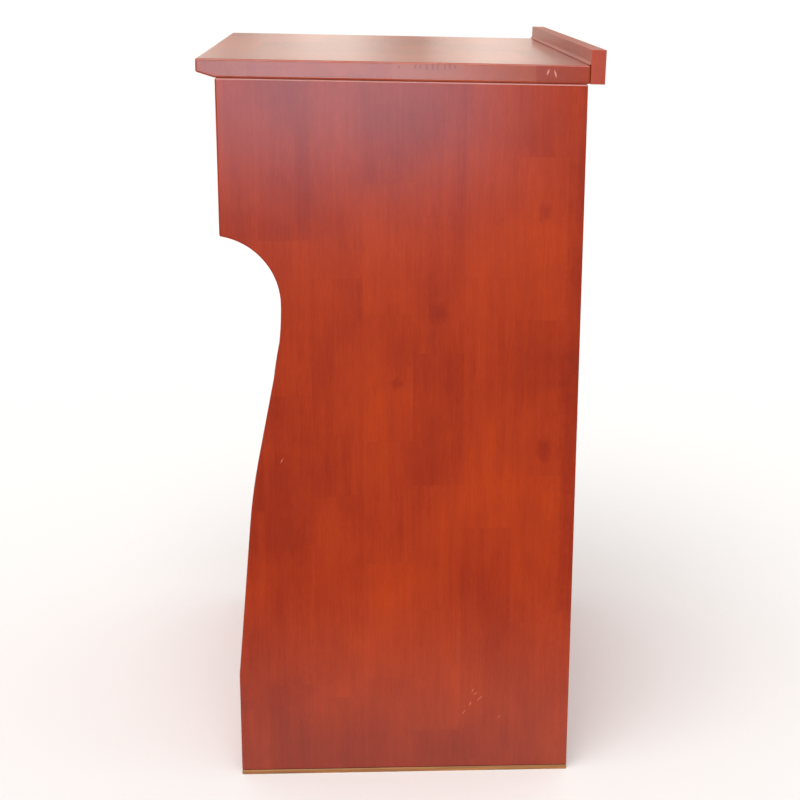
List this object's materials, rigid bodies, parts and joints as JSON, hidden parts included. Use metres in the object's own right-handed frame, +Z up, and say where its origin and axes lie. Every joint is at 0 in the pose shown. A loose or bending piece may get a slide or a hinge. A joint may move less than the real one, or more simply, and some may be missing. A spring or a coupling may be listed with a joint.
{
  "type": "presentation lectern",
  "caption": "Wooden standing lectern with curve-cut side panels, a sloping top with a paper ledge, an open paper bay, a drawer and a cupboard with two doors.",
  "frame": {"origin": "floor level, in the middle of the bounding box's footprint", "axes": "+Z up; -Y towards the audience, +Y towards the speaker; +X is the speaker's left hand and the side that the reference view shows"},
  "size_m": [0.68, 0.5684, 1.1112],
  "materials": {
    "side_wood": "red-brown stain under satin lacquer, glued staves",
    "top_wood": "red-brown stain under semi-gloss lacquer, finger-jointed staves",
    "front_wood": "red-brown stain under satin lacquer",
    "rear_wood": "red-brown stain under satin lacquer",
    "inner_wood": "red-brown stain, thin lacquer",
    "pale_wood": "clear-sealed birch plywood",
    "bare_wood": "oiled, unstained hardwood",
    "hinge_metal": "brass-plated steel, bright",
    "zinc_steel": "zinc-plated steel",
    "black_plastic": "moulded, matte"
  },
  "bodies": {
    "carcass": {"base_strip_left": "bare_wood", "base_strip_right": "bare_wood", "cleat_screw_left_front": "zinc_steel", "cleat_screw_left_rear": "zinc_steel", "cleat_screw_right_front": "zinc_steel", "cleat_screw_right_rear": "zinc_steel", "corner_block_front_left": "pale_wood", "corner_block_front_right": "pale_wood", "corner_block_rear_left": "pale_wood", "corner_block_rear_right": "pale_wood", "cupboard_floor": "rear_wood", "cupboard_shelf": "rear_wood", "drawer_divider": "rear_wood", "front_fascia": "front_wood", "front_lower_panel": "front_wood", "hinge_left_lower_frame_leaf": "hinge_metal", "hinge_left_lower_pin": "hinge_metal", "hinge_left_upper_frame_leaf": "hinge_metal", "hinge_left_upper_pin": "hinge_metal", "hinge_right_lower_frame_leaf": "hinge_metal", "hinge_right_lower_pin": "hinge_metal", "hinge_right_upper_frame_leaf": "hinge_metal", "hinge_right_upper_pin": "hinge_metal", "magnet_catch_left": "black_plastic", "magnet_catch_right": "black_plastic", "neck_panel": "front_wood", "paper_bay_floor": "rear_wood", "paper_ledge": "top_wood", "plinth_board": "front_wood", "rear_kick_board": "rear_wood", "runner_left_fixed": "zinc_steel", "runner_right_fixed": "zinc_steel", "shelf_pin_left_front": "zinc_steel", "shelf_pin_left_rear": "zinc_steel", "shelf_pin_right_front": "zinc_steel", "shelf_pin_right_rear": "zinc_steel", "side_panel_left": "side_wood", "side_panel_right": "side_wood", "top_board": "top_wood", "top_cleat_left": "inner_wood", "top_cleat_right": "inner_wood", "top_rail_front": "inner_wood", "top_rail_rear": "rear_wood", "waist_batten": "inner_wood"},
    "drawer": {"drawer_back": "pale_wood", "drawer_floor": "pale_wood", "drawer_front": "rear_wood", "drawer_side_left": "pale_wood", "drawer_side_right": "pale_wood", "runner_left_sliding": "zinc_steel", "runner_right_sliding": "zinc_steel"},
    "door_left": {"door_left": "rear_wood", "hinge_left_lower_door_leaf": "hinge_metal", "hinge_left_upper_door_leaf": "hinge_metal", "strike_plate_left": "zinc_steel"},
    "door_right": {"door_right": "rear_wood", "hinge_right_lower_door_leaf": "hinge_metal", "hinge_right_upper_door_leaf": "hinge_metal", "strike_plate_right": "zinc_steel"}
  },
  "joints": [
    {"name": "drawer_slide", "type": "slide", "parent": "carcass", "child": "drawer", "axis": [0, 1, 0], "range_m": [0, 0.28]},
    {"name": "door_left_hinge", "type": "hinge", "parent": "carcass", "child": "door_left", "pos_m": [0.3149, 0.25743, 0.41], "axis": [0, 0, -1], "range_deg": [0, 110]},
    {"name": "door_right_hinge", "type": "hinge", "parent": "carcass", "child": "door_right", "pos_m": [-0.3149, 0.25743, 0.41], "axis": [0, 0, 1], "range_deg": [0, 110]}
  ]
}
